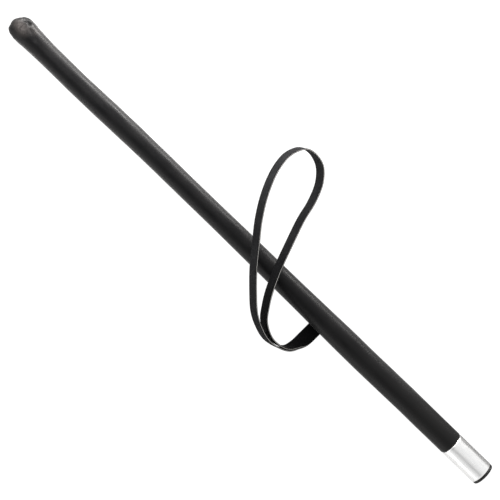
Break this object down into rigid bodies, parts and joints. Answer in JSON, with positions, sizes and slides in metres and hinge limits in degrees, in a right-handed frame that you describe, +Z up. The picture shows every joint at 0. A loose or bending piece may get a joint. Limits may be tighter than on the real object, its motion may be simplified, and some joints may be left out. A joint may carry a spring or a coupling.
{
  "type": "devil stick",
  "caption": "Rubber-sleeved juggling stick with a thicker grip, a rounded tip, a bright metal butt and a flat wrist loop.",
  "frame": {"origin": "on the stick's axis, at the middle of the aluminium ferrule on its butt", "axes": "+X along the stick and out of its butt; +Z up, away from the strap's screw, which points down; +Y completes the right-handed frame"},
  "size_m": [0.6437, 0.1637, 0.0646],
  "materials": {
    "sleeve_rubber": "satin",
    "strap_black": "matte",
    "ferrule_aluminium": "satin",
    "plug_plastic": "matte",
    "core_wood": "plain turned",
    "pad_rubber": "matte",
    "bush_brass": "machined",
    "fastener_steel": "zinc plated"
  },
  "bodies": {
    "stick": {"core_rod": "core_wood", "sleeve": "sleeve_rubber", "tip_pad": "pad_rubber", "end_ferrule": "ferrule_aluminium", "end_plug": "plug_plastic", "ferrule_pin": "fastener_steel", "strap_bush": "bush_brass", "cup_washer": "fastener_steel", "strap_screw": "fastener_steel"},
    "strap": {"wrist_strap": "strap_black"}
  },
  "joints": [
    {"name": "strap_swivel", "type": "hinge", "parent": "stick", "child": "strap", "pos_m": [-0.1948, 0, -0.0145], "axis": [0, 0, 1], "range_deg": [-40, 25]}
  ]
}
